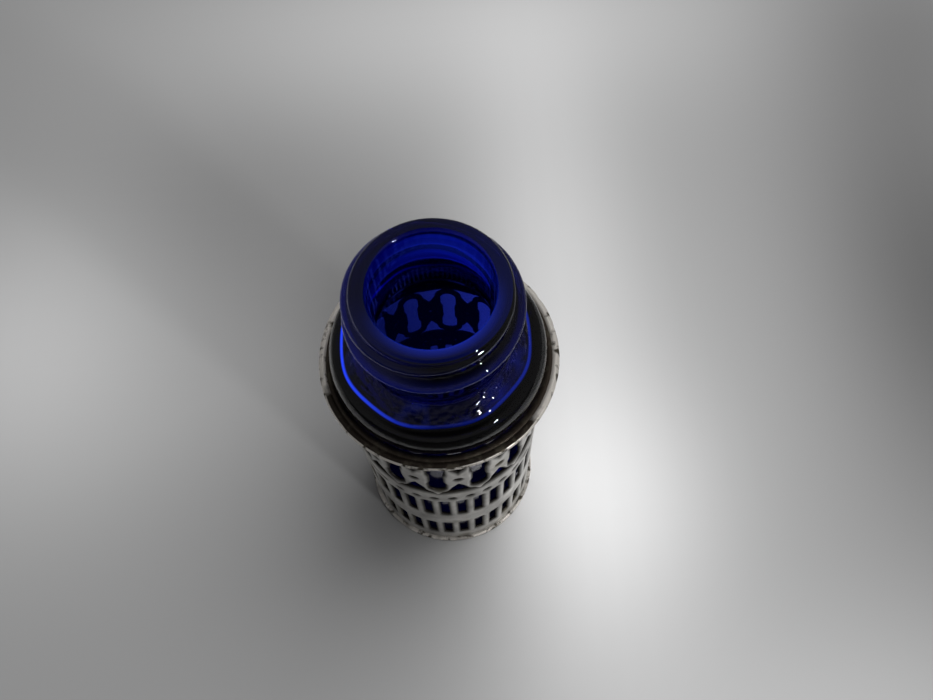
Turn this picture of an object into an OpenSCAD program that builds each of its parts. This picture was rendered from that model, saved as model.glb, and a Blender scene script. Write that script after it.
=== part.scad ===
// Small blue glass bottle with a screw neck, standing in a pierced metal sleeve.
// Millimetres. +Z is up, and the origin is the centre of the foot's underside.
// The front of the bottle faces -Y. The glass lifts straight up out of the sleeve.

/* [Sleeve] */
// Outside diameter of the pierced wall at its foot
wall_d = 30; // [26:0.5:40]
// Extra diameter of the wall at the collar, as it widens slightly upwards
wall_taper = 0.9; // [0:0.1:1.6]
// Thickness of the sheet that the wall and the collar are made of
wall_t = 0.7; // [0.5:0.05:1]
// Plain band between the foot ring and the lower slots
foot_band_h = 3.1; // [1.5:0.1:8]
// Height of the lower row of slots
lower_slot_h = 7.9; // [4:0.1:14]
// Plain band between the two rows of slots
mid_band_h = 5.7; // [2:0.1:8]
// Height of the upper row of slots
upper_slot_h = 9; // [4:0.2:14]
// Band that holds the row of small round holes
dot_band_h = 5.2; // [3:0.2:8]
// Height of the lattice openings
lattice_h = 15.2; // [12:0.2:20]
// Plain band between the lattice and the collar
top_band_h = 2.1; // [1:0.1:6]

/* [Piercing] */
// Number of slots in each row
slot_count = 32; // [20:2:36]
// Width of each slot
slot_w = 1.4; // [0.8:0.1:1.8]
// Radius of the corners of each slot
slot_corner_r = 0.35; // [0.1:0.05:0.4]
// Diameter of the small holes above the slots
dot_d = 0.9; // [0.6:0.1:1.4]
// Number of cells round the lattice
cell_count = 14; // [10:1:14]
// Width of the two lobes of each hourglass opening
lobe_w = 2.7; // [2:0.1:3.2]
// Width of the waist of each hourglass opening
waist_w = 2.1; // [1.6:0.1:2.6]
// Height of the narrow waist
waist_h = 2.4; // [1:0.2:4]
// Solid metal between an hourglass and the edge of the lattice
lobe_margin = 1.6; // [1:0.2:3]
// Width of the straight side of each triangular opening
triangle_w = 5; // [2:0.1:5]
// Distance from the rosette to the tip of each triangular opening
triangle_tip = 3; // [2.4:0.2:4.4]
// Diameter of the hole in the middle of each rosette
rosette_d = 1; // [0.6:0.1:1.4]

/* [Collar, rim and foot] */
// Height of the flared collar
collar_h = 3.6; // [2.5:0.1:6]
// How far the collar flares outwards
flare = 1.45; // [1.2:0.05:2.5]
// Diameter of the wire of the rim bead
rim_wire_d = 1.2; // [0.8:0.1:2]
// Height of the ring that the sleeve stands on
foot_h = 1; // [0.8:0.1:3]
// How far the foot ring stands out from the wall
foot_out = 0.65; // [0.3:0.05:1.5]
// Width of the ledge inside the foot ring that carries the base plate
foot_ledge = 0.8; // [0.5:0.1:2]
// Thickness of the base plate
base_t = 0.7; // [0.5:0.1:2]

/* [Glass] */
// Thickness of the glass of the body
glass_t = 1.5; // [1.2:0.1:4]
// Thickness of the bottom of the glass
glass_bottom_t = 3; // [2:0.2:6]
// Radius of the bottom edge of the glass
heel_r = 1.6; // [1:0.1:2.5]
// Height of the lip above the rim of the sleeve
glass_above_rim = 20; // [18:0.5:24]
// How far the shoulder bulges out past the body
bulge_out = 1.7; // [1.2:0.1:2.4]
// Height of the widest ring of the shoulder above the rim
bulge_above_rim = 1.3; // [1:0.1:3]
// Height of the crown of the shoulder above its widest ring
crown_h = 3.7; // [2:0.1:5]
// Distance across the flats of the eight-sided edge on the crown
octagon_w = 26.8; // [24:0.2:27]
// Distance across the rounded corners of that edge
octagon_corner_w = 27.8; // [27.4:0.2:28.6]
// Height of the eight sloping facets
facet_h = 2.2; // [1:0.1:3]

/* [Neck finish] */
// Diameter of the neck under the thread
neck_d = 21.3; // [20:0.1:23]
// Diameter over the thread
thread_d = 24.4; // [22.5:0.1:26]
// Diameter of the bore of the neck
bore_d = 16.8; // [12:0.1:18]
// Pitch of the thread
pitch = 3.6; // [2.5:0.1:4]
// Number of turns of the thread
thread_turns = 1.95; // [1.2:0.05:2.2]
// Depth from the lip to the start of the thread
thread_drop = 0.8; // [0.8:0.1:2.5]
// Height of the thread ridge at its foot
thread_foot_h = 2.1; // [1.2:0.1:2.4]
// Height of the thread ridge at its crest
thread_crest_h = 0.8; // [0.4:0.1:1.2]
// Radius of the outer edge of the lip
lip_outer_r = 0.8; // [0.3:0.1:1]
// Radius of the inner edge of the lip
lip_inner_r = 0.4; // [0.2:0.1:0.8]

/* [Fits] */
// Gap all round between the glass and the sleeve
glass_gap = 0.3; // [0.2:0.05:0.6]
// Gap between the glass and the base plate
seat_gap = 0.05; // [0.02:0.01:0.2]

/* [Hidden] */
$fn = 96;

front = -90;
arc_steps = 10;
cut_over = 1;
solder_lap = 0.15;

// Levels of the sleeve, from the ground up
wall_r = wall_d / 2;
wall_in_r = wall_r - wall_t;
wall_z = foot_h;
lower_slot_z = wall_z + foot_band_h;
upper_slot_z = lower_slot_z + lower_slot_h + mid_band_h;
dot_band_z = upper_slot_z + upper_slot_h;
dot_z = dot_band_z + dot_band_h * 0.4;
lattice_z = dot_band_z + dot_band_h;
rosette_z = lattice_z + lattice_h / 2;
collar_z = lattice_z + lattice_h + top_band_h;
rim_z = collar_z + collar_h;
wall_top_r = wall_r + wall_taper / 2;
wall_top_in_r = wall_top_r - wall_t;
lip_r = wall_top_in_r + flare;
slot_step = 360 / slot_count;
cell_step = 360 / cell_count;
slot_phase = front + slot_step * 0.64;
cell_phase = front - cell_step / 4;

// Levels and radii of the glass
glass_z = wall_z + base_t + seat_gap;
glass_r = wall_in_r - glass_gap;
cavity_r = glass_r - glass_t;
lip_z = rim_z + glass_above_rim;
bulge_z = rim_z + bulge_above_rim;
bulge_r = glass_r + bulge_out;
crown_z = bulge_z + crown_h;
octagon_r = octagon_w / 2;
neck_r = neck_d / 2;
neck_z = crown_z + facet_h;
bore_r = bore_d / 2;
waist_z = collar_z + 1;
thread_z = lip_z - thread_drop;
thread_steps = 48;
thread_sink = 0.4;
thread_start = front + 90;
thread_fade_in = 0.35;
thread_start_size = 0.45;
thread_fade_out = 0.14;
facet_slope = atan2(octagon_r - neck_r, facet_h);

// Points along an elliptical arc about [cx, cz], from angle a to angle b
function arc(cx, cz, rx, rz, a, b) =
    [for (i = [0:arc_steps]) let (t = a + (b - a) * i / arc_steps) [cx + rx * cos(t), cz + rz * sin(t)]];

// The points of v without the first one
function tail(v) = [for (i = [1:len(v) - 1]) v[i]];

// Section of the flared collar: inside curve, rounded lip, outside curve
function collar_section() = concat(
    arc(lip_r, collar_z, flare, collar_h, 180, 90),
    tail(arc(lip_r, rim_z - wall_t / 2, wall_t / 2, wall_t / 2, 90, -90)),
    tail(arc(lip_r, collar_z, flare - wall_t, collar_h - wall_t, 90, 180)));

// Outside of the glass, from the bottom up
function glass_outline() = concat(
    [[0, glass_z]],
    arc(glass_r - heel_r, glass_z + heel_r, heel_r, heel_r, -90, 0),
    arc(glass_r + bulge_out * 0.35, waist_z, bulge_out * 0.35, 1.2, 180, 125),
    arc(octagon_r, bulge_z, bulge_r - octagon_r, 2.2, -45, 0),
    arc(octagon_r, bulge_z, bulge_r - octagon_r, crown_h, 8, 90),
    [[0, crown_z]]);

// Inside of the glass, from the floor up to the lip
function cavity_outline() = concat(
    [[0, glass_z + glass_bottom_t]],
    arc(cavity_r - heel_r, glass_z + glass_bottom_t + heel_r, heel_r, heel_r, -90, 0),
    arc(bore_r, waist_z + 1, cavity_r - bore_r, neck_z - waist_z - 2, 0, 80),
    [[bore_r, neck_z - 0.6],
     [bore_r, lip_z - lip_inner_r]],
    [for (p = arc(bore_r + lip_inner_r, lip_z - lip_inner_r, lip_inner_r, lip_inner_r, 180, 90)) p],
    [[bore_r + lip_inner_r, lip_z + cut_over],
     [0, lip_z + cut_over]]);

// Neck from the crown to the rounded outer edge of the lip
module neck_blank() {
    rotate_extrude()
        polygon(concat(
            [[0, crown_z - cut_over],
             [neck_r, crown_z - cut_over]],
            arc(neck_r - lip_outer_r, lip_z - lip_outer_r, lip_outer_r, lip_outer_r, 0, 90),
            [[0, lip_z]]));
}

// Eight-sided block on the crown, with a sloping facet on each side
module octagon_block() {
    difference() {
        translate([0, 0, crown_z - cut_over])
            cylinder(h = facet_h + cut_over, d = octagon_corner_w);
        for (k = [0:7])
            rotate([0, 0, front + 45 * k])
                translate([octagon_r, 0, crown_z])
                    rotate([0, -facet_slope, 0])
                        translate([0, -wall_d, -wall_d])
                            cube([wall_d, 2 * wall_d, 2 * wall_d]);
    }
}

// Radius of the thread's crest at a share u of its length, which starts and ends under the neck's surface
function thread_crest_r(u) =
    neck_r - thread_sink / 2
    + (thread_d / 2 - neck_r + thread_sink / 2) * min(1, u / thread_fade_in, (1 - u) / thread_fade_out);

// Four corners of the thread ridge at a share u of its length
function thread_ring(u) =
    let (a = thread_start - 360 * thread_turns * u,
         z = thread_z - pitch * thread_turns * u,
         size = thread_start_size + (1 - thread_start_size) * min(1, u / thread_fade_in),
         foot = size * thread_foot_h / 2,
         crest = size * thread_crest_h / 2,
         r = thread_crest_r(u),
         s = neck_r - thread_sink)
    [for (p = [[s, -foot], [s, foot], [r, crest], [r, -crest]])
        [p[0] * cos(a), p[0] * sin(a), z + p[1]]];

// Right-handed screw thread, which fades in and out
module thread() {
    n = ceil(thread_steps * thread_turns);
    rings = [for (i = [0:n]) thread_ring(i / n)];
    points = [for (ring = rings) for (p = ring) p];
    sides = [for (i = [0:n - 1]) for (j = [0:3])
        [4 * i + j, 4 * i + (j + 1) % 4, 4 * i + 4 + (j + 1) % 4, 4 * i + 4 + j]];
    polyhedron(points, concat([[3, 2, 1, 0]], sides, [[4 * n, 4 * n + 1, 4 * n + 2, 4 * n + 3]]),
               convexity = 6);
}

// One blown bottle: body, bulging shoulder, facets, neck and thread
module glass_bottle() {
    color([0.05, 0.06, 0.55, 0.75])
        difference() {
            union() {
                rotate_extrude() polygon(glass_outline());
                octagon_block();
                neck_blank();
                thread();
            }
            rotate_extrude() polygon(cavity_outline());
        }
}

// Upright rectangle with round corners, centred on the origin
module round_slot(w, h, r) {
    square([w, h - 2 * r], center = true);
    square([w - 2 * r, h], center = true);
    for (sx = [-1, 1])
        for (sy = [-1, 1])
            translate([sx * (w / 2 - r), sy * (h / 2 - r)])
                circle(r, $fn = 24);
}

// Hourglass opening with two round lobes and a narrow waist
module hourglass() {
    lobe_r = lobe_w / 2;
    lobe_y = lattice_h / 2 - lobe_margin - lobe_r;
    square([waist_w, 2 * lobe_y], center = true);
    for (s = [-1, 1]) {
        translate([0, s * lobe_y])
            circle(lobe_r, $fn = 48);
        translate([0, s * (lobe_y + waist_h / 2) / 2])
            square([lobe_w, lobe_y - waist_h / 2], center = true);
    }
}

// Rosette hole with one triangular opening above it and one below it
module crossing() {
    circle(d = rosette_d, $fn = 24);
    for (s = [-1, 1])
        polygon([[0, s * triangle_tip],
                 [triangle_w / 2, s * lattice_h / 2],
                 [-triangle_w / 2, s * lattice_h / 2]]);
}

// Cuts a flat shape straight through the wall at azimuth a and height z
module pierce(a, z) {
    rotate([0, 0, a])
        translate([wall_in_r - cut_over, 0, z])
            rotate([90, 0, 90])
                linear_extrude(wall_top_r - wall_in_r + 2 * cut_over)
                    children();
}

// Tube with two rows of slots, a row of small holes and a lattice
module pierced_wall() {
    color([0.72, 0.71, 0.68])
        difference() {
            translate([0, 0, wall_z])
                cylinder(h = collar_z - wall_z, r1 = wall_r, r2 = wall_top_r);
            translate([0, 0, wall_z])
                cylinder(h = collar_z - wall_z, r1 = wall_in_r, r2 = wall_top_in_r);
            translate([0, 0, wall_z - cut_over])
                cylinder(h = 2 * cut_over, r = wall_in_r);
            translate([0, 0, collar_z])
                cylinder(h = cut_over, r = wall_top_in_r);
            for (i = [0:slot_count - 1]) {
                a = slot_phase + slot_step * i;
                pierce(a, lower_slot_z + lower_slot_h / 2)
                    round_slot(slot_w, lower_slot_h, slot_corner_r);
                pierce(a, upper_slot_z + upper_slot_h / 2)
                    round_slot(slot_w, upper_slot_h, slot_corner_r);
                pierce(a + slot_step / 2, dot_z)
                    circle(d = dot_d, $fn = 24);
            }
            for (i = [0:cell_count - 1]) {
                pierce(cell_phase + cell_step * i, rosette_z)
                    hourglass();
                pierce(cell_phase + cell_step * (i + 0.5), rosette_z)
                    crossing();
            }
        }
}

// Collar that flares out from the wall to a rounded lip
module flared_collar() {
    color([0.5, 0.42, 0.36])
        rotate_extrude()
            polygon(collar_section());
}

// Round wire soldered round the outside of the collar
module rim_bead() {
    color([0.78, 0.76, 0.72])
        rotate_extrude()
            difference() {
                translate([lip_r + wall_t / 2 + rim_wire_d / 2 - solder_lap, rim_z - rim_wire_d / 2])
                    circle(d = rim_wire_d, $fn = 48);
                polygon(collar_section());
            }
}

// Ring that the sleeve stands on, with a round outer edge and a ledge inside
module foot_ring() {
    inner_r = wall_in_r - foot_ledge;
    outer_r = wall_r + foot_out;
    color([0.66, 0.65, 0.62])
        rotate_extrude() {
            translate([inner_r, 0])
                square([outer_r - foot_h / 2 - inner_r, foot_h]);
            translate([outer_r - foot_h / 2, foot_h / 2])
                circle(d = foot_h, $fn = 32);
        }
}

// Disc that closes the bottom of the sleeve and carries the glass
module base_plate() {
    color([0.6, 0.58, 0.54])
        translate([0, 0, wall_z])
            cylinder(h = base_t, r = wall_in_r);
}

glass_bottle();
pierced_wall();
flared_collar();
rim_bead();
foot_ring();
base_plate();
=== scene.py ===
import math

import bpy
import numpy as np
from mathutils import Matrix, Vector, noise


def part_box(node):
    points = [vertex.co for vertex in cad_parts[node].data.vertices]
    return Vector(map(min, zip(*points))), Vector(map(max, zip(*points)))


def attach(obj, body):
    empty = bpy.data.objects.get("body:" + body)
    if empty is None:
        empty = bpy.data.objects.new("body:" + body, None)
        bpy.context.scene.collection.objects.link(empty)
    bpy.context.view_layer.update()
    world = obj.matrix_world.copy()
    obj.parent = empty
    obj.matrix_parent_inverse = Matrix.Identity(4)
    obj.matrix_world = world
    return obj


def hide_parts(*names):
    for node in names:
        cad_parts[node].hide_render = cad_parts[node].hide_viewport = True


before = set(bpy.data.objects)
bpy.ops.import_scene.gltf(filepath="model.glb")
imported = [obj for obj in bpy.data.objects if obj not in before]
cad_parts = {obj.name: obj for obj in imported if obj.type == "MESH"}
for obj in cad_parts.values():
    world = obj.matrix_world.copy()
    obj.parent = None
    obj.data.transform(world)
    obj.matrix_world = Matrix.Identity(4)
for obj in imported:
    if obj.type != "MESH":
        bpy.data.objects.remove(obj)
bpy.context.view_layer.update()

MM = 0.001
FRONT = -math.pi / 2


# ---------------------------------------------------------------- sizes

def top(node):
    """Height of the top of a CAD node, in metres."""
    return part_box(node)[1].z


def bottom(node):
    """Height of the bottom of a CAD node, in metres."""
    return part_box(node)[0].z


def radius(node):
    """Outside radius of a round CAD node, in metres."""
    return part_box(node)[1].y


RIM_Z = top("flared_collar")
WALL_Z = bottom("pierced_wall")
COLLAR_Z = top("pierced_wall")
WALL_TOP_R = radius("pierced_wall")
WALL_TAPER = 0.45 * MM
WALL_R = WALL_TOP_R - WALL_TAPER
WALL_T = 0.7 * MM
WALL_IN_R = WALL_R - WALL_T
FLARE = 1.45 * MM
LIP_R = WALL_TOP_R - WALL_T + FLARE
GLASS_Z = bottom("glass_bottle")
LIP_Z = top("glass_bottle")

# Glass: radii
GLASS_R = WALL_IN_R - 0.3 * MM
CAVITY_R = GLASS_R - 1.5 * MM
BULGE_R = GLASS_R + 1.7 * MM
OCTAGON_R = 13.4 * MM
NECK_R = 10.65 * MM
BORE_R = 8.4 * MM
THREAD_R = 12.2 * MM
HEEL_R = 1.6 * MM

# Glass: heights
BULGE_Z = RIM_Z + 1.3 * MM
CROWN_Z = BULGE_Z + 3.7 * MM
NECK_Z = CROWN_Z + 2.2 * MM
WAIST_Z = COLLAR_Z + 1 * MM
FLOOR_Z = GLASS_Z + 3 * MM
PITCH = 3.6 * MM
THREAD_TURNS = 1.95
THREAD_Z = LIP_Z - 0.8 * MM
THREAD_HALF_H = 1.25 * MM
THREAD_START_SIZE = 0.45
THREAD_FADE_IN = 0.35
THREAD_FADE_OUT = 0.12
LIP_OUTER_R = 0.8 * MM
LIP_INNER_R = 0.5 * MM

# Wall: heights of the pattern's rows
LOWER_SLOT = (WALL_Z + 3.1 * MM, WALL_Z + 11 * MM)
UPPER_SLOT = (WALL_Z + 16.7 * MM, WALL_Z + 25.7 * MM)
DOT_Z = UPPER_SLOT[1] + 2.08 * MM
LATTICE = (UPPER_SLOT[1] + 5.2 * MM, UPPER_SLOT[1] + 20.4 * MM)
ROSETTE_Z = (LATTICE[0] + LATTICE[1]) / 2
SLOTS = 32
CELLS = 14
SLOT_STEP = 2 * math.pi / SLOTS
CELL_STEP = 2 * math.pi / CELLS
SLOT_PHASE = FRONT + 0.64 * SLOT_STEP
CELL_PHASE = FRONT - 0.25 * CELL_STEP

# Wall: widths of the openings and height of the relief
SLOT_HALF_W = 0.7 * MM
SLOT_CORNER_R = 0.35 * MM
DOT_R = 0.45 * MM
LOBE_HALF_W = 1.35 * MM
WAIST_HALF_W = 1.05 * MM
HOURGLASS_SOFT = 0.6 * MM
RIBBON_W = 1.0 * MM
ROSETTE_HOLE_R = 0.5 * MM
EDGE_DROP = 0.34 * MM
BOSS_RISE = 0.08 * MM


# ---------------------------------------------------------------- mesh tools

def smoothstep(a, b, x):
    """0 below a, 1 above b, and smooth between."""
    t = np.clip((x - a) / (b - a), 0, 1)
    return t * t * (3 - 2 * t)


def arc(cx, cz, rx, rz, a, b, n=12):
    """n + 1 points along an elliptical arc, from angle a to b in degrees."""
    t = np.radians(np.linspace(a, b, n + 1))
    return [(cx + rx * math.cos(v), cz + rz * math.sin(v)) for v in t]


def line(p, q, n):
    """n points from p towards q, with q left out."""
    return [(p[0] + (q[0] - p[0]) * i / n, p[1] + (q[1] - p[1]) * i / n) for i in range(n)]


def fractal(points, size, octaves=3):
    """Smooth repeatable noise at each point, about -1 to 1, with lumps of about the given size."""
    values = [noise.fractal(Vector(p) / size, 1.0, 2.0, octaves) for p in points.reshape(-1, 3)]
    return np.array(values).reshape(points.shape[:-1])


def new_object(name, points, faces):
    """A smooth-shaded mesh object from points and faces."""
    mesh = bpy.data.meshes.new(name)
    mesh.from_pydata([tuple(p) for p in points], [], [tuple(f) for f in faces])
    mesh.validate()
    mesh.update()
    mesh.shade_smooth()
    piece = bpy.data.objects.new(name, mesh)
    bpy.context.scene.collection.objects.link(piece)
    return piece


def polar_grid(rows, segments, around=False):
    """Faces of rows by segments that close round the axis, and from the last row to the first if around."""
    faces = []
    count = rows if around else rows - 1
    for j in range(count):
        a, b = j * segments, ((j + 1) % rows) * segments
        for i in range(segments):
            k = (i + 1) % segments
            faces.append((a + i, a + k, b + k, b + i))
    return faces


def capped_grid(rows, segments):
    """Faces of a grid that closes round the axis, with its first and last rows filled in."""
    last = (rows - 1) * segments
    ends = [tuple(reversed(range(segments))), tuple(range(last, last + segments))]
    return polar_grid(rows, segments) + ends


def polar_points(r, z, phi):
    """Points from arrays of radius and height, rows by segments."""
    return np.stack([r * np.cos(phi), r * np.sin(phi), z + 0 * phi], -1)


def mark(piece, name, values):
    """Stores one number at each point of a piece, for its material to read."""
    attribute = piece.data.attributes.new(name, "FLOAT", "POINT")
    attribute.data.foreach_set("value", np.asarray(values, np.float32))


# ---------------------------------------------------------------- glass

def octagon(phi, flat_r, sharpness=11.0):
    """Radius of a round-cornered octagon with one side facing the front."""
    total = sum(np.maximum(np.cos(phi - FRONT - k * math.pi / 4), 0) ** sharpness for k in range(8))
    return flat_r / total ** (1 / sharpness)


def thread_rise(phi, z):
    """How far the thread stands out from the neck."""
    down = (FRONT + math.pi / 2 - phi) % (2 * math.pi)
    rise = np.zeros_like(z)
    for turn in range(3):
        along = down + 2 * math.pi * turn
        share = along / (2 * math.pi * THREAD_TURNS)
        start = np.clip(share / THREAD_FADE_IN, 0, 1)
        fade = np.minimum(start ** 0.9, smoothstep(0, THREAD_FADE_OUT, 1 - share))
        size = THREAD_START_SIZE + (1 - THREAD_START_SIZE) * start
        offset = (z - (THREAD_Z - PITCH * along / (2 * math.pi))) / (THREAD_HALF_H * size)
        ridge = np.clip(1 - offset ** 2, 0, 1) ** 0.8
        rise = np.maximum(rise, ridge * fade)
    return rise * (THREAD_R - NECK_R)


def positive(values):
    """The values, with those under 0 made 0."""
    return np.maximum(values, 0)


def octagon_edge(phi):
    """Radius of the eight-sided edge, which is slightly off centre, to the left."""
    return octagon(phi, OCTAGON_R) + 0.25 * MM * positive(-np.cos(phi)) - 0.2 * MM * positive(np.cos(phi))


def outside_rows(phi):
    """Rows of radius and height up the outside of the glass, and the number of the neck's first row."""
    edge = octagon_edge(phi)
    rows = []

    def row(r, z):
        rows.append((r + 0 * phi, z + 0 * phi))

    # Pushed-up base, and the heel round it
    push_r, push_h = 10.6, 0.7 * MM
    for r in (0.2, 2, 4, 6, 8, 9.5, push_r):
        row(r * MM, GLASS_Z + push_h * (1 - (r / push_r) ** 2) + 0.001 * MM)
    heel = arc(GLASS_R - HEEL_R, GLASS_Z + HEEL_R, HEEL_R, HEEL_R, -90, 0)
    for r, z in line((11.2 * MM, GLASS_Z), heel[0], 3) + heel:
        row(r, z)
    # Body, and the fillet under the bulge
    for r, z in line((GLASS_R, GLASS_Z + 2 * HEEL_R), (GLASS_R, WAIST_Z), 24):
        row(r, z)
    waist_rx = 0.35 * (BULGE_R - GLASS_R)
    for r, z in arc(GLASS_R + waist_rx, WAIST_Z, waist_rx, 1.2 * MM, 180, 125):
        row(r, z)
    for r, z in arc(OCTAGON_R, BULGE_Z, BULGE_R - OCTAGON_R, 2.2 * MM, -45, 0, 10):
        row(r, z)
    # Round bulge up to the eight-sided edge
    fullness = 0.85
    for t in np.radians(np.linspace(5, 88, 30)):
        out, up = math.cos(t) ** fullness, math.sin(t) ** fullness
        row(edge + (BULGE_R - edge) * out, BULGE_Z + (CROWN_Z - BULGE_Z) * up)
    # Facets from that edge up towards the neck, and a fillet at its root
    facet_end, root_end = 0.9, 1.35
    for t in np.linspace(0.02, facet_end, 22):
        row(edge + (NECK_R - edge) * t, CROWN_Z + (NECK_Z - CROWN_Z) * t)
    for t in np.linspace(0, 1, 6):
        corner = (1 - t) ** 2 * facet_end + 2 * t * (1 - t) + t ** 2
        height = (1 - t) ** 2 * facet_end + 2 * t * (1 - t) + t ** 2 * root_end
        row(edge + (NECK_R - edge) * corner, CROWN_Z + (NECK_Z - CROWN_Z) * height)
    # Neck with its thread, which dies away into the rounded lip
    neck_row = len(rows)
    for z in np.linspace(CROWN_Z + (NECK_Z - CROWN_Z) * 1.4, LIP_Z - LIP_OUTER_R - 0.05 * MM, 76):
        row(NECK_R + thread_rise(phi, z + 0 * phi), z)
    for r, z in arc(NECK_R - LIP_OUTER_R, LIP_Z - LIP_OUTER_R, LIP_OUTER_R, LIP_OUTER_R, 4, 90):
        share = (r - NECK_R + LIP_OUTER_R) / LIP_OUTER_R
        row(r + share * thread_rise(phi, z + 0 * phi), z)
    return rows, neck_row


def inside_rows(phi):
    """Rows of radius and height down the inside of the glass, from the lip to the floor."""
    outline = arc(BORE_R + LIP_INNER_R, LIP_Z - LIP_INNER_R, LIP_INNER_R, LIP_INNER_R, 90, 180)
    outline += line((BORE_R, LIP_Z - LIP_INNER_R - 0.2 * MM), (BORE_R, NECK_Z - 0.2 * MM), 40)
    shoulder = arc(BORE_R, WAIST_Z + 1 * MM, CAVITY_R - BORE_R, NECK_Z - WAIST_Z - 2 * MM, 0, 86, 24)
    outline += shoulder[::-1]
    outline += line((CAVITY_R, WAIST_Z), (CAVITY_R, FLOOR_Z + 2 * HEEL_R), 24)
    outline += arc(CAVITY_R - HEEL_R, FLOOR_Z + HEEL_R, HEEL_R, HEEL_R, -90, 0)[::-1]
    outline += [(r * MM, FLOOR_Z + 0.25 * MM * (1 - (r / 11.1) ** 2)) for r in (10, 8, 6, 4, 2, 0.2)]
    return [(r + 0 * phi, z + 0 * phi) for r, z in outline]


def painted_glow(phi, r, z, facet, neck_row, lip_row):
    """Strength of the painted blue glow at each point of the glass: emission that stands in for light the
    glass gathers at its lip, thread, edges and facets.
    """
    near, right, left = positive(-np.sin(phi)), positive(np.cos(phi)), positive(-np.cos(phi))
    # Painted glow: faint on the body below the collar, and strong in a strip just inside the eight-sided edge,
    # brightest at the left
    share = (octagon_edge(phi) - r) / MM
    crease = smoothstep(-0.06, 0.03, share) * smoothstep(0.4, 0.26, share) * (np.abs(z - CROWN_Z) < 0.8 * MM)
    crease[neck_row:] = 0
    glow = 0.008 * (z < COLLAR_Z) + crease * (0.2 + 3.0 * left ** 1.5 + 0.5 * right ** 1.5)
    # Painted glow on the thread, and patchy painted glow on the facets
    rise = np.clip((r - NECK_R) / (THREAD_R - NECK_R), 0, 1)
    glow[neck_row:lip_row] = (0.07 * rise ** 2 * (0.5 + near) + 0.06 * left)[neck_row:lip_row]
    glow += facet * (0.01 + 0.22 * np.clip(fractal(polar_points(r, z, phi), 4 * MM), 0, 1))
    # Painted glow on the lip, brightest along the front of the mouth
    rows = np.arange(len(r))[:, None]
    lip = (rows >= lip_row - 6) & (z > LIP_Z - 0.7 * MM)
    glow = np.where(lip, 0.02 + 0.07 * near + 0.07 * right + 0.01 * left, glow)
    mouth = smoothstep(BORE_R + 1.1 * MM, BORE_R + 0.1 * MM, r)
    glow += 0.7 * lip * mouth * positive(np.cos(phi - FRONT - 0.25)) ** 1.5
    # Painted glow on the upper part of the bore at the back
    bore = (rows >= lip_row + 2) & (z < LIP_Z - 0.7 * MM)
    depth = smoothstep(LIP_Z - 7 * MM, LIP_Z - 5 * MM, z)
    return glow + 0.22 * bore * depth * positive(np.cos(phi - 1.25)) ** 2


def build_glass():
    """One closed skin: outside from the base up to the lip, then down the inside to the floor."""
    segments = 288
    phi = np.linspace(0, 2 * math.pi, segments, endpoint=False)
    rows, neck_row = outside_rows(phi)
    lip_row = len(rows)
    rows += inside_rows(phi)
    r = np.array([row[0] for row in rows])
    z = np.array([row[1] for row in rows])
    # Waves of blown glass, and the rougher skin of the facets
    r = r + 0.025 * MM * fractal(polar_points(r, z, phi), 5 * MM, 1) * (z > COLLAR_Z)
    facet = smoothstep(0.0, 0.3 * MM, octagon_edge(phi) - r) * (z < NECK_Z)
    facet *= smoothstep(CROWN_Z, CROWN_Z + 0.3 * MM, z)
    facet[neck_row:] = 0
    z = z + 0.16 * MM * fractal(polar_points(r, z, phi), 0.7 * MM) * facet
    points = polar_points(r, z, phi).reshape(-1, 3)
    piece = new_object("blown_bottle", points, capped_grid(len(rows), segments))
    # Painted glow: how strongly each point glows blue, stored for the glass material's emission
    mark(piece, "painted_glow_strength", painted_glow(phi, r, z, facet, neck_row, lip_row).ravel())
    return piece


# ---------------------------------------------------------------- pierced wall

def round_box(x, y, half_x, half_y, r):
    """Distance to a box with round corners, negative inside."""
    qx, qy = np.abs(x) - half_x + r, np.abs(y) - half_y + r
    return np.hypot(np.maximum(qx, 0), np.maximum(qy, 0)) + np.minimum(np.maximum(qx, qy), 0) - r


def fold(u, phase, step):
    """Distance round the wall to the nearest repeat of a pattern, in metres at the wall's outside."""
    return (((u - phase + step / 2) % step) - step / 2) * WALL_R


def pattern(u, z):
    """Distance from each point of the wall to the nearest opening, and to the nearest rosette's middle."""
    slot_x = fold(u, SLOT_PHASE, SLOT_STEP)
    bar_x = fold(u, SLOT_PHASE + SLOT_STEP / 2, SLOT_STEP)
    cell_x = fold(u, CELL_PHASE, CELL_STEP)
    cross_x = fold(u, CELL_PHASE + CELL_STEP / 2, CELL_STEP)
    y = z - ROSETTE_Z
    slots = np.full_like(z, 1.0)
    for low, high in (LOWER_SLOT, UPPER_SLOT):
        slot = round_box(slot_x, z - (low + high) / 2, SLOT_HALF_W, (high - low) / 2, SLOT_CORNER_R)
        slots = np.minimum(slots, slot)
    dots = np.hypot(bar_x, z - DOT_Z) - DOT_R
    # Hourglass: two lobes joined by a waist, with a soft change from one to the other
    lobes = round_box(cell_x, np.abs(y) - 3.8 * MM, LOBE_HALF_W, 2.2 * MM, 1.3 * MM)
    waist = round_box(cell_x, y, WAIST_HALF_W, 2.6 * MM, 0.1 * MM)
    share = np.clip(0.5 + (waist - lobes) / (2 * HOURGLASS_SOFT), 0, 1)
    hourglass = waist * (1 - share) + lobes * share - HOURGLASS_SOFT * share * (1 - share)
    # Triangle, kept a ribbon's width away from the hourglasses, with a bowed base
    base = 7.6 * MM - 0.35 * MM * (1 - (cross_x / (2.6 * MM)) ** 2)
    slope = (np.abs(cross_x) - (np.abs(y) - 3.0 * MM) * 0.6) * 0.85
    triangle = np.maximum(np.maximum(slope, np.abs(y) - base), RIBBON_W - hourglass)
    rosette = np.hypot(cross_x, y)
    distance = np.minimum.reduce([slots, dots, hourglass, triangle, rosette - ROSETTE_HOLE_R])
    return distance, rosette


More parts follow.
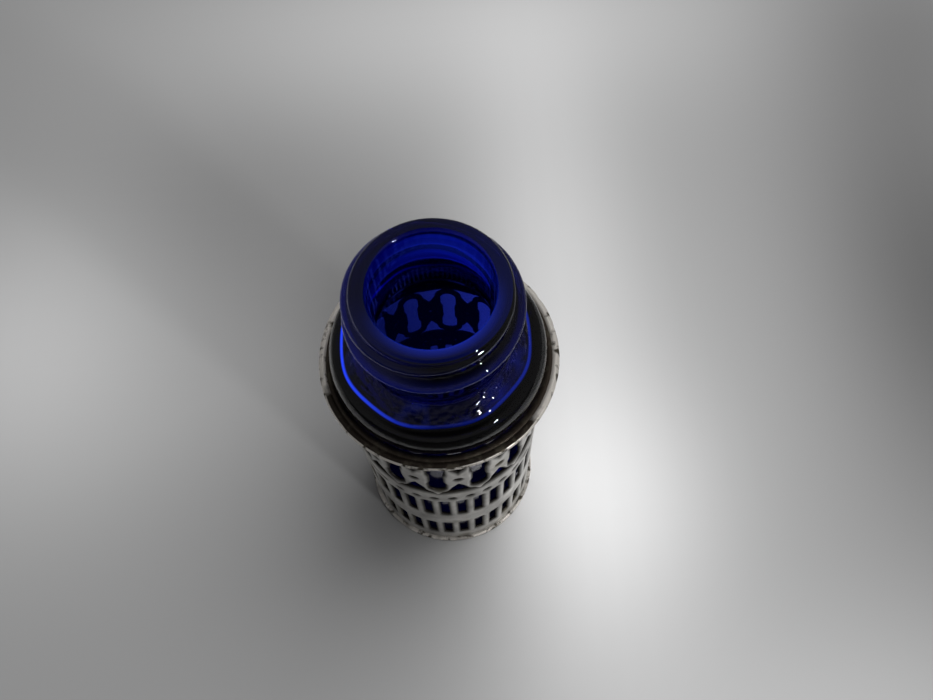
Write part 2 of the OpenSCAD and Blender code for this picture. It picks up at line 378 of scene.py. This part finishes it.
def wall_relief(u, z):
    """Height of the embossing and of the rosettes' bosses, each from 0 to 1."""
    distance, rosette = pattern(u, z)
    edge = smoothstep(-0.05 * MM, 0.6 * MM, distance)
    boss = smoothstep(1.15 * MM, 0.8 * MM, rosette)
    return edge, boss


def build_wall():
    """Sheet metal cut along the edges of the openings, rounded and embossed, and bent round the glass."""
    columns, rows = 476, 242
    u = np.linspace(0, 2 * math.pi, columns, endpoint=False)
    z = np.linspace(WALL_Z, COLLAR_Z, rows)
    grid_u, grid_z = np.meshgrid(u, z)
    inside = pattern(grid_u, grid_z)[0]
    flat = []
    index = -np.ones((rows, columns), int)
    for j in range(rows):
        for i in range(columns):
            if inside[j, i] > 0:
                index[j, i] = len(flat)
                flat.append((u[i], z[j]))
    crossings = {}
    faces, edges = [], []

    def crossing(a, b):
        """The point on the grid edge from a to b where the opening's outline crosses it."""
        key = (a, b) if a < b else (b, a)
        if key not in crossings:
            (ja, ia), (jb, ib) = key
            fa, fb = inside[ja, ia % columns], inside[jb, ib % columns]
            t = fa / (fa - fb)
            ua, ub = 2 * math.pi * ia / columns, 2 * math.pi * ib / columns
            if ib == 0 and ia > 1:
                ub += 2 * math.pi
            if ia == 0 and ib > 1:
                ua += 2 * math.pi
            crossings[key] = len(flat)
            flat.append((ua + (ub - ua) * t, z[ja] + (z[jb] - z[ja]) * t))
        return crossings[key]

    for j in range(rows - 1):
        for i in range(columns):
            k = (i + 1) % columns
            corners = [(j, i), (j, k), (j + 1, k), (j + 1, i)]
            signs = [inside[c] > 0 for c in corners]
            if not any(signs):
                continue
            loop, cuts = [], []
            for n in range(4):
                a, b = corners[n], corners[(n + 1) % 4]
                if signs[n]:
                    loop.append(index[a])
                if signs[n] != signs[(n + 1) % 4]:
                    point = crossing(a, b)
                    loop.append(point)
                    cuts.append((point, signs[n]))
            faces.append(loop)
            for n, (point, leaving) in enumerate(cuts):
                if leaving:
                    edges.append((point, cuts[(n + 1) % len(cuts)][0]))
            if j == 0 and signs[0] and signs[1]:
                edges.append((index[corners[1]], index[corners[0]]))
            if j == rows - 2 and signs[2] and signs[3]:
                edges.append((index[corners[3]], index[corners[2]]))

    flat = np.array(flat)
    edge, boss = wall_relief(flat[:, 0], flat[:, 1])
    taper = WALL_TAPER * (flat[:, 1] - WALL_Z) / (COLLAR_Z - WALL_Z)
    outer = polar_points(WALL_R + taper - EDGE_DROP * (1 - edge) + BOSS_RISE * boss, flat[:, 1], flat[:, 0])
    inner = polar_points(WALL_IN_R + taper, flat[:, 1], flat[:, 0])
    n = len(flat)
    all_faces = [tuple(f) for f in faces]
    all_faces += [tuple(v + n for v in reversed(f)) for f in faces]
    all_faces += [(b, a, a + n, b + n) for a, b in edges]
    piece = new_object("embossed_sleeve", np.concatenate([outer, inner]), all_faces)
    mark(piece, "height", np.concatenate([edge, np.zeros(n)]))
    return piece


# ---------------------------------------------------------------- rings

def plain_wear(r, z, phi):
    """The same little wear everywhere."""
    return 0.3 + 0 * r * phi


def build_ring(name, section, lumps, lump_size=2 * MM, wear=plain_wear):
    """A closed section turned round the axis, with soft dents of the given depth, marked with its wear."""
    segments = 288
    phi = np.linspace(0, 2 * math.pi, segments, endpoint=False)
    section = np.array(section[::-1])
    centre = section.mean(0)
    r = np.repeat(section[:, :1], segments, 1)
    z = np.repeat(section[:, 1:], segments, 1)
    dent = np.minimum(fractal(polar_points(r, z, phi), lump_size), 0) * lumps
    size = np.hypot(r - centre[0], z - centre[1])
    points = polar_points(r + dent * (r - centre[0]) / size, z + dent * (z - centre[1]) / size, phi)
    piece = new_object(name, points.reshape(-1, 3), polar_grid(len(section), segments, around=True))
    mark(piece, "wear", wear(r, z, phi[None, :]).ravel())
    return piece


def front_share(phi):
    """1 at the front, where the plate is worn most, and 0 at the sides and back."""
    return smoothstep(0.25, 0.8, np.cos(phi - FRONT + 0.15))


def build_collar():
    """Flared sheet with a rounded lip, worn brown on its inside."""
    section = arc(LIP_R, COLLAR_Z, FLARE, RIM_Z - COLLAR_Z, 180, 92, 20)
    section += arc(LIP_R, RIM_Z - WALL_T / 2, WALL_T / 2, WALL_T / 2, 80, -80, 10)
    section += arc(LIP_R, COLLAR_Z, FLARE - WALL_T, RIM_Z - COLLAR_Z - WALL_T, 88, 180, 16)

    def wear(r, z, phi):
        inside = np.hypot((LIP_R - r) / FLARE, (z - COLLAR_Z) / (RIM_Z - COLLAR_Z)) > 0.93
        return 0.1 + 0.3 * front_share(phi) + 0.75 * inside

    return build_ring("spun_collar", section, 0.05 * MM, wear=wear)


def build_bead():
    """Pitted wire round the rim, worn brown on its top and inside, at the front."""
    wire_r = 0.6 * MM
    centre_r, centre_z = LIP_R + WALL_T / 2 + wire_r - 0.15 * MM, RIM_Z - wire_r

    def wear(r, z, phi):
        upper = np.maximum(smoothstep(0.65 * wire_r, 0.9 * wire_r, z - centre_z), r < centre_r)
        return 0.15 + 0.9 * front_share(phi) * upper

    section = arc(centre_r, centre_z, wire_r, wire_r, 360, 15, 23)
    return build_ring("rolled_rim", section, 0.12 * MM, 1.5 * MM, wear)


def build_foot():
    """Ring that the sleeve stands on, round on its outside."""
    out_r, in_r = radius("foot_ring"), WALL_IN_R - 0.8 * MM
    edge_r = WALL_Z / 2
    section = line((in_r, 0.0), (in_r, WALL_Z), 3) + line((in_r, WALL_Z), (out_r - edge_r, WALL_Z), 6)
    section += arc(out_r - edge_r, edge_r, edge_r, edge_r, 90, -90, 12)
    section += line((out_r - edge_r - 0.2 * MM, 0.0), (in_r + 0.2 * MM, 0.0), 5)
    return build_ring("foot_bead", section, 0.05 * MM)


def build_plate():
    """Slightly dished disc with a rounded edge."""
    segments = 128
    phi = np.linspace(0, 2 * math.pi, segments, endpoint=False)
    low, high = bottom("base_plate"), top("base_plate")
    rim, round_r = WALL_IN_R - 0.02 * MM, 0.1 * MM
    rows = [(r * MM, low + round_r) for r in (0.2, 4, 8, 12)]
    rows += [(rim - 0.3 * MM, low), (rim, low + round_r), (rim, high - round_r), (rim - 0.2 * MM, high)]
    rows += [(r * MM, high) for r in (12, 8, 4, 0.2)]
    rows = np.array(rows)
    points = polar_points(rows[:, :1] + 0 * phi, rows[:, 1:] + 0 * phi, phi)
    return new_object("base_disc", points.reshape(-1, 3), capped_grid(len(rows), segments))


# ---------------------------------------------------------------- materials

def new_material(name):
    """A node material, its node tree and its Principled shader."""
    material = bpy.data.materials.new(name)
    material.use_nodes = True
    tree = material.node_tree
    return material, tree, tree.nodes["Principled BSDF"]


def add(tree, kind, **settings):
    """A node of the given kind, with its properties set."""
    node = tree.nodes.new("ShaderNode" + kind)
    for key, value in settings.items():
        setattr(node, key, value)
    return node


def noise_node(tree, scale, detail=4.0, stretch=(1, 1, 1)):
    """Noise in the object's own coordinates, as a 0-to-1 value."""
    place = add(tree, "TexCoord")
    mapping = add(tree, "Mapping")
    mapping.inputs["Scale"].default_value = stretch
    texture = add(tree, "TexNoise")
    texture.inputs["Scale"].default_value = scale
    texture.inputs["Detail"].default_value = detail
    tree.links.new(place.outputs["Object"], mapping.inputs[0])
    tree.links.new(mapping.outputs[0], texture.inputs["Vector"])
    return texture.outputs["Fac"]


def span(tree, value, low, high, to_low=0.0, to_high=1.0):
    """Value mapped from one range to another, and kept inside it."""
    node = add(tree, "MapRange")
    for name, number in (("From Min", low), ("From Max", high), ("To Min", to_low), ("To Max", to_high)):
        node.inputs[name].default_value = number
    tree.links.new(value, node.inputs["Value"])
    return node.outputs["Result"]


def calc(tree, operation, a, b):
    """Arithmetic on two values or numbers."""
    node = add(tree, "Math", operation=operation)
    for socket, item in zip(node.inputs, (a, b)):
        if isinstance(item, (int, float)):
            socket.default_value = item
        else:
            tree.links.new(item, socket)
    return node.outputs[0]


def blend(tree, share, a, b):
    """Colour a where share is 0 and b where it is 1."""
    node = add(tree, "MixRGB")
    tree.links.new(share, node.inputs["Fac"])
    for socket, item in ((node.inputs["Color1"], a), (node.inputs["Color2"], b)):
        if isinstance(item, tuple):
            socket.default_value = (*item, 1)
        else:
            tree.links.new(item, socket)
    return node.outputs["Color"]


def bump(tree, shader, height, strength, distance):
    """Raises the shader's surface by a value, over a distance in metres."""
    node = add(tree, "Bump")
    node.inputs["Strength"].default_value = strength
    node.inputs["Distance"].default_value = distance
    tree.links.new(height, node.inputs["Height"])
    tree.links.new(node.outputs[0], shader.inputs["Normal"])


def read(tree, name):
    """The number stored at each point of the piece under this name."""
    return add(tree, "Attribute", attribute_name=name).outputs["Fac"]


def glass_material():
    """Clear glass that absorbs all but blue, with a weak painted blue glow, read from each point, that stands
    in for light gathered by the glass.
    """
    material, tree, shader = new_material("cobalt_glass")
    shader.inputs["Base Color"].default_value = (1, 1, 1, 1)
    shader.inputs["Transmission Weight"].default_value = 1.0
    shader.inputs["IOR"].default_value = 1.52
    tree.links.new(span(tree, noise_node(tree, 260), 0.35, 0.7, 0.0, 0.035), shader.inputs["Roughness"])
    bump(tree, shader, noise_node(tree, 260, 3.0), 0.04, 0.0002)
    # Painted glow: blue emission, scaled by each point's stored glow strength
    shader.inputs["Emission Color"].default_value = (0.015, 0.055, 1.0, 1)
    tree.links.new(calc(tree, "MULTIPLY", read(tree, "painted_glow_strength"), 0.33), shader.inputs["Emission Strength"])
    volume = add(tree, "VolumeAbsorption")
    volume.inputs["Color"].default_value = (0.0, 0.16, 0.83, 1)
    volume.inputs["Density"].default_value = 2100
    tree.links.new(volume.outputs[0], tree.nodes["Material Output"].inputs["Volume"])
    return material


def silver_material():
    """Dull silver plate: dark along the cut edges, blotched with tarnish."""
    material, tree, shader = new_material("tarnished_silver")
    height = read(tree, "height")
    blotch = noise_node(tree, 130, 5.0)
    fine = noise_node(tree, 900, 4.0)
    streak = noise_node(tree, 300, 4.0, (1, 1, 0.15))
    clean = calc(tree, "MULTIPLY", span(tree, height, 0.15, 1.0), span(tree, blotch, 0.25, 0.6, 0.45, 1.0))
    clean = calc(tree, "MULTIPLY", clean, span(tree, streak, 0.3, 0.6, 0.65, 1.0))
    colour = blend(tree, clean, (0.035, 0.031, 0.027), (0.7, 0.685, 0.65))
    colour = blend(tree, span(tree, blotch, 0.56, 0.74), colour, (0.2, 0.18, 0.13))
    tree.links.new(colour, shader.inputs["Base Color"])
    shader.inputs["Metallic"].default_value = 0.85
    tree.links.new(span(tree, calc(tree, "ADD", fine, clean), 0.4, 1.6, 0.62, 0.3), shader.inputs["Roughness"])
    bump(tree, shader, calc(tree, "ADD", fine, blotch), 0.35, 0.00012)
    return material


def plate_material(name, bare, silver):
    """Silver plate worn through to brown metal. The piece's "wear" says where it is worn."""
    material, tree, shader = new_material(name)
    patch = noise_node(tree, 260, 6.0)
    pits = span(tree, noise_node(tree, 620, 5.0), 0.52, 0.62)
    worn = calc(tree, "ADD", read(tree, "wear"), calc(tree, "MULTIPLY", patch, 0.9))
    worn = span(tree, worn, 0.72, 1.02)
    colour = blend(tree, worn, silver, bare)
    colour = blend(tree, pits, colour, (0.07, 0.06, 0.045))
    tree.links.new(colour, shader.inputs["Base Color"])
    shader.inputs["Metallic"].default_value = 0.75
    tree.links.new(span(tree, patch, 0.3, 0.7, 0.34, 0.6), shader.inputs["Roughness"])
    bump(tree, shader, calc(tree, "SUBTRACT", patch, pits), 0.4, 0.00015)
    return material


# ---------------------------------------------------------------- stage

CAMERA_POINT = Vector((0.271, -3.597, 11.390)) * WALL_R
CAMERA_TILT = math.radians(65.318)
CAMERA_ROLL = math.radians(-3.123)
CAMERA_LENS = 34.36


def build_camera():
    """Looks down and to the back from above the front, leaning slightly."""
    camera = bpy.data.cameras.new("camera")
    camera.lens = CAMERA_LENS
    camera.sensor_width = 36
    camera.clip_start = 0.001
    rig = bpy.data.objects.new("camera", camera)
    forward = Vector((0, math.cos(CAMERA_TILT), -math.sin(CAMERA_TILT)))
    right = Vector((1, 0, 0))
    up = right.cross(forward)
    right_rolled = right * math.cos(CAMERA_ROLL) + up * math.sin(CAMERA_ROLL)
    up_rolled = up * math.cos(CAMERA_ROLL) - right * math.sin(CAMERA_ROLL)
    turn = Matrix((right_rolled, up_rolled, -forward)).transposed()
    rig.matrix_world = Matrix.Translation(CAMERA_POINT) @ turn.to_4x4()
    bpy.context.scene.collection.objects.link(rig)
    bpy.context.scene.camera = rig


def area_light(name, place, target, side, power, glossy=False):
    """A square lamp, which shiny and clear surfaces show only if glossy."""
    light = bpy.data.lights.new(name, "AREA")
    light.shape = "SQUARE"
    light.size = side
    light.energy = power
    lamp = bpy.data.objects.new(name, light)
    lamp.visible_glossy = glossy
    lamp.visible_transmission = glossy
    lamp.location = place
    lamp.rotation_euler = (Vector(target) - Vector(place)).to_track_quat("-Z", "Y").to_euler()
    bpy.context.scene.collection.objects.link(lamp)


# Painted pools of light and shade on the floor: centre x and y, half-width and half-depth in metres, and
# brightness
FLOOR_PAINTED_LIGHT_PATCHES = (
    (0.024, 0.030, 0.014, 0.050, 0.24),
    (0.028, -0.010, 0.016, 0.018, 0.27),
    (-0.090, 0.030, 0.026, 0.026, 0.22),
    (0.010, 0.115, 0.055, 0.022, 0.16),
    (0.055, 0.010, 0.024, 0.040, 0.06),
    (0.060, -0.055, 0.040, 0.016, 0.14),
    (0.110, 0.030, 0.024, 0.045, -0.17),
    (0.118, 0.112, 0.030, 0.025, -0.10),
    (-0.012, 0.030, 0.014, 0.018, -0.12),
    (-0.050, 0.060, 0.025, 0.025, -0.08))
FLOOR_TONE = 0.27
FRONT_FLOOR_PAINTED_SHADE = 0.12


def build_floor():
    """A pale floor with soft painted pools of light and shade, and painted shade well in front of the object.
    """
    side = np.linspace(-1.2, 1.2, 481)
    x, y = np.meshgrid(side, side)
    floor_tone_with_painted_light = np.full_like(x, FLOOR_TONE)
    # Painted light and shade: soft patches added to the floor's colour
    for px, py, sx, sy, gain in FLOOR_PAINTED_LIGHT_PATCHES:
        floor_tone_with_painted_light += gain * np.exp(-((x - px) / sx) ** 2 / 2 - ((y - py) / sy) ** 2 / 2)
    # Painted shade: the floor's colour darkened well in front of the object
    floor_tone_with_painted_light *= FRONT_FLOOR_PAINTED_SHADE + (1 - FRONT_FLOOR_PAINTED_SHADE) * smoothstep(-0.085, -0.05, y)
    count = len(side)
    corners = [j * count + i for j in range(count - 1) for i in range(count - 1)]
    faces = [(k, k + 1, k + count + 1, k + count) for k in corners]
    floor = new_object("floor", np.stack([x, y, 0 * x], -1).reshape(-1, 3), faces)
    # Floor colour with its painted light and shade, stored at each point
    mark(floor, "floor_tone_with_painted_light", floor_tone_with_painted_light.ravel())
    material, tree, shader = new_material("floor")
    tree.links.new(blend(tree, read(tree, "floor_tone_with_painted_light"), (0, 0, 0), (1, 1, 1)), shader.inputs["Base Color"])
    shader.inputs["Roughness"].default_value = 0.8
    floor.data.materials.append(material)


def build_light():
    """One broad lamp, a small one for glints, and an even dim room that is darker above the front."""
    area_light("key", (0.16, 0.14, 0.50), (0, 0, 0.03), 0.42, 3.5)
    area_light("glint", (0.42, -0.42, 0.30), (0, 0, 0.06), 0.055, 1.1, glossy=True)
    world = bpy.data.worlds.new("world")
    world.use_nodes = True
    tree = world.node_tree
    facing = add(tree, "VectorMath", operation="DOT_PRODUCT")
    tree.links.new(add(tree, "TexCoord").outputs["Generated"], facing.inputs[0])
    facing.inputs[1].default_value = (0, -0.42, 0.91)
    colour, strength = tree.nodes["Background"].inputs[:2]
    colour.default_value = (1.0, 1.0, 1.03, 1)
    tree.links.new(span(tree, facing.outputs["Value"], 0.76, 0.97, 0.14, 0.02), strength)
    bpy.context.scene.world = world


def dress(piece, material, body, node):
    """Gives a piece its material, parents it to its body, and hides the CAD node that it replaces."""
    piece.data.materials.append(material)
    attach(piece, body)
    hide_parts(node)


bpy.context.scene.view_settings.view_transform = "Standard"
build_camera()
build_floor()
build_light()
silver = silver_material()
collar_plate = plate_material("worn_plate", (0.045, 0.035, 0.027), (0.55, 0.51, 0.46))
rim_plate = plate_material("rim_plate", (0.03, 0.023, 0.018), (0.78, 0.74, 0.68))
dress(build_glass(), glass_material(), "bottle", "glass_bottle")
dress(build_wall(), silver, "sleeve", "pierced_wall")
dress(build_collar(), collar_plate, "sleeve", "flared_collar")
dress(build_bead(), rim_plate, "sleeve", "rim_bead")
dress(build_foot(), rim_plate, "sleeve", "foot_ring")
dress(build_plate(), collar_plate, "sleeve", "base_plate")
